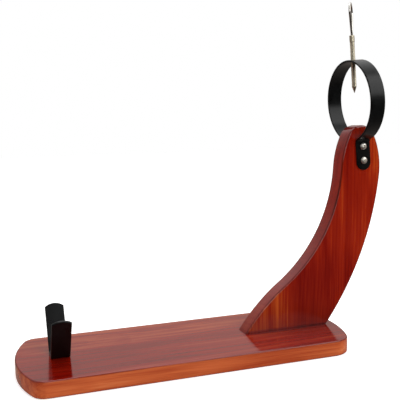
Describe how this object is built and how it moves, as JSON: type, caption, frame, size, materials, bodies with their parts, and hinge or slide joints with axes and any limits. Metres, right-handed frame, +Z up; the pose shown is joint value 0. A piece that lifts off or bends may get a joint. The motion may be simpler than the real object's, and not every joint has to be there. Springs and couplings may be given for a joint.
{
  "type": "ham stand",
  "caption": "Wooden stand with a curved arm, a steel ring with a screw-down spike, and a V claw, for holding a whole ham.",
  "frame": {"origin": "middle of the board's underside, on the surface the stand rests on", "axes": "+X along the board from the claw to the arm, +Y across the board, +Z up"},
  "size_m": [0.4657, 0.15, 0.4271],
  "materials": {
    "varnished_pine": "red mahogany stain under gloss varnish",
    "beech_dowel": "bare turned beech",
    "black_powder_coat": "satin black powder coat on steel strap",
    "nickel_plated_steel": "bright nickel plate",
    "zinc_plated_steel": "bright zinc plate"
  },
  "bodies": {
    "stand": {"base_board": "varnished_pine", "arm": "varnished_pine", "arm_dowel_toe": "beech_dowel", "arm_dowel_heel": "beech_dowel", "arm_screw_toe": "zinc_plated_steel", "arm_screw_heel": "zinc_plated_steel", "ring_strap": "black_powder_coat", "ring_screw_front_upper": "nickel_plated_steel", "ring_screw_front_lower": "nickel_plated_steel", "ring_screw_back_upper": "nickel_plated_steel", "ring_screw_back_lower": "nickel_plated_steel", "claw": "black_powder_coat", "claw_screw_left": "zinc_plated_steel", "claw_screw_right": "zinc_plated_steel"},
    "sleeve": {"spike_ferrule": "nickel_plated_steel"},
    "spike": {"spike_rod": "nickel_plated_steel", "spike_handle": "nickel_plated_steel"}
  },
  "joints": [
    {"name": "spike_feed", "type": "slide", "parent": "stand", "child": "sleeve", "axis": [-0.061, 0, 0.9981], "range_m": [-0.0218, 0.0281]},
    {"name": "spike_turn", "type": "hinge", "parent": "sleeve", "child": "spike", "pos_m": [0.239, 0, 0.2375], "axis": [-0.061, 0, 0.9981], "range_deg": [-7830, 10080]}
  ],
  "couplings": [
    {"joint": "spike_feed", "follows": "spike_turn", "m_per_rad": 0.00015915}
  ]
}
